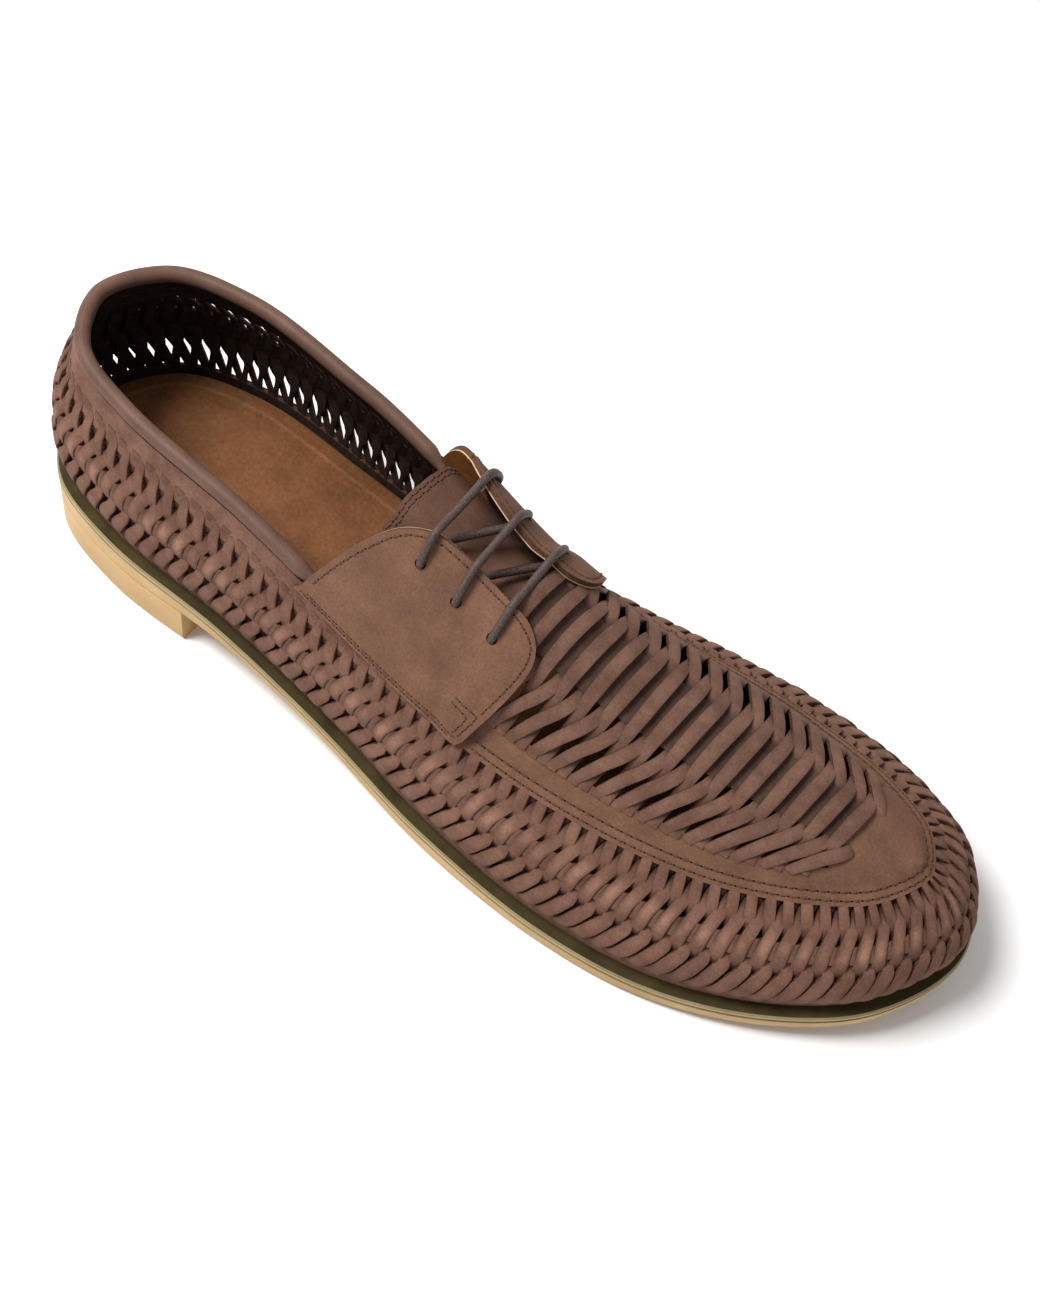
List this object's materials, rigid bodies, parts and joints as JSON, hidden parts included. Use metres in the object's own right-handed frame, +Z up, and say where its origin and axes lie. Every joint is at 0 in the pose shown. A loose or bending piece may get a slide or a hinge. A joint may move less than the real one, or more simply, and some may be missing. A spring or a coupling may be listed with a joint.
{
  "type": "woven leather lace-up shoe",
  "caption": "Right-foot low shoe with a plaited leather upper, laced facings, tongue, rolled collar and a thin moulded sole with low heel.",
  "frame": {"origin": "centre of the sole's outline, on the floor", "axes": "+X towards the toe, +Y towards the inner side of the foot, +Z up"},
  "size_m": [0.3008, 0.1048, 0.0908],
  "materials": {
    "sole": "matte moulded tan",
    "insole": "pored tan pigskin",
    "upper_leather": "brown nubuck",
    "facing_leather": "brown nubuck",
    "tongue_leather": "brown nubuck",
    "collar_leather": "soft brown leather",
    "lace": "waxed round cord"
  },
  "bodies": {
    "root": {"outsole": "sole", "insole": "insole", "upper": "upper_leather", "facing_lateral": "facing_leather", "facing_medial": "facing_leather", "tongue": "tongue_leather", "collar": "collar_leather", "lace": "lace"}
  },
  "joints": []
}
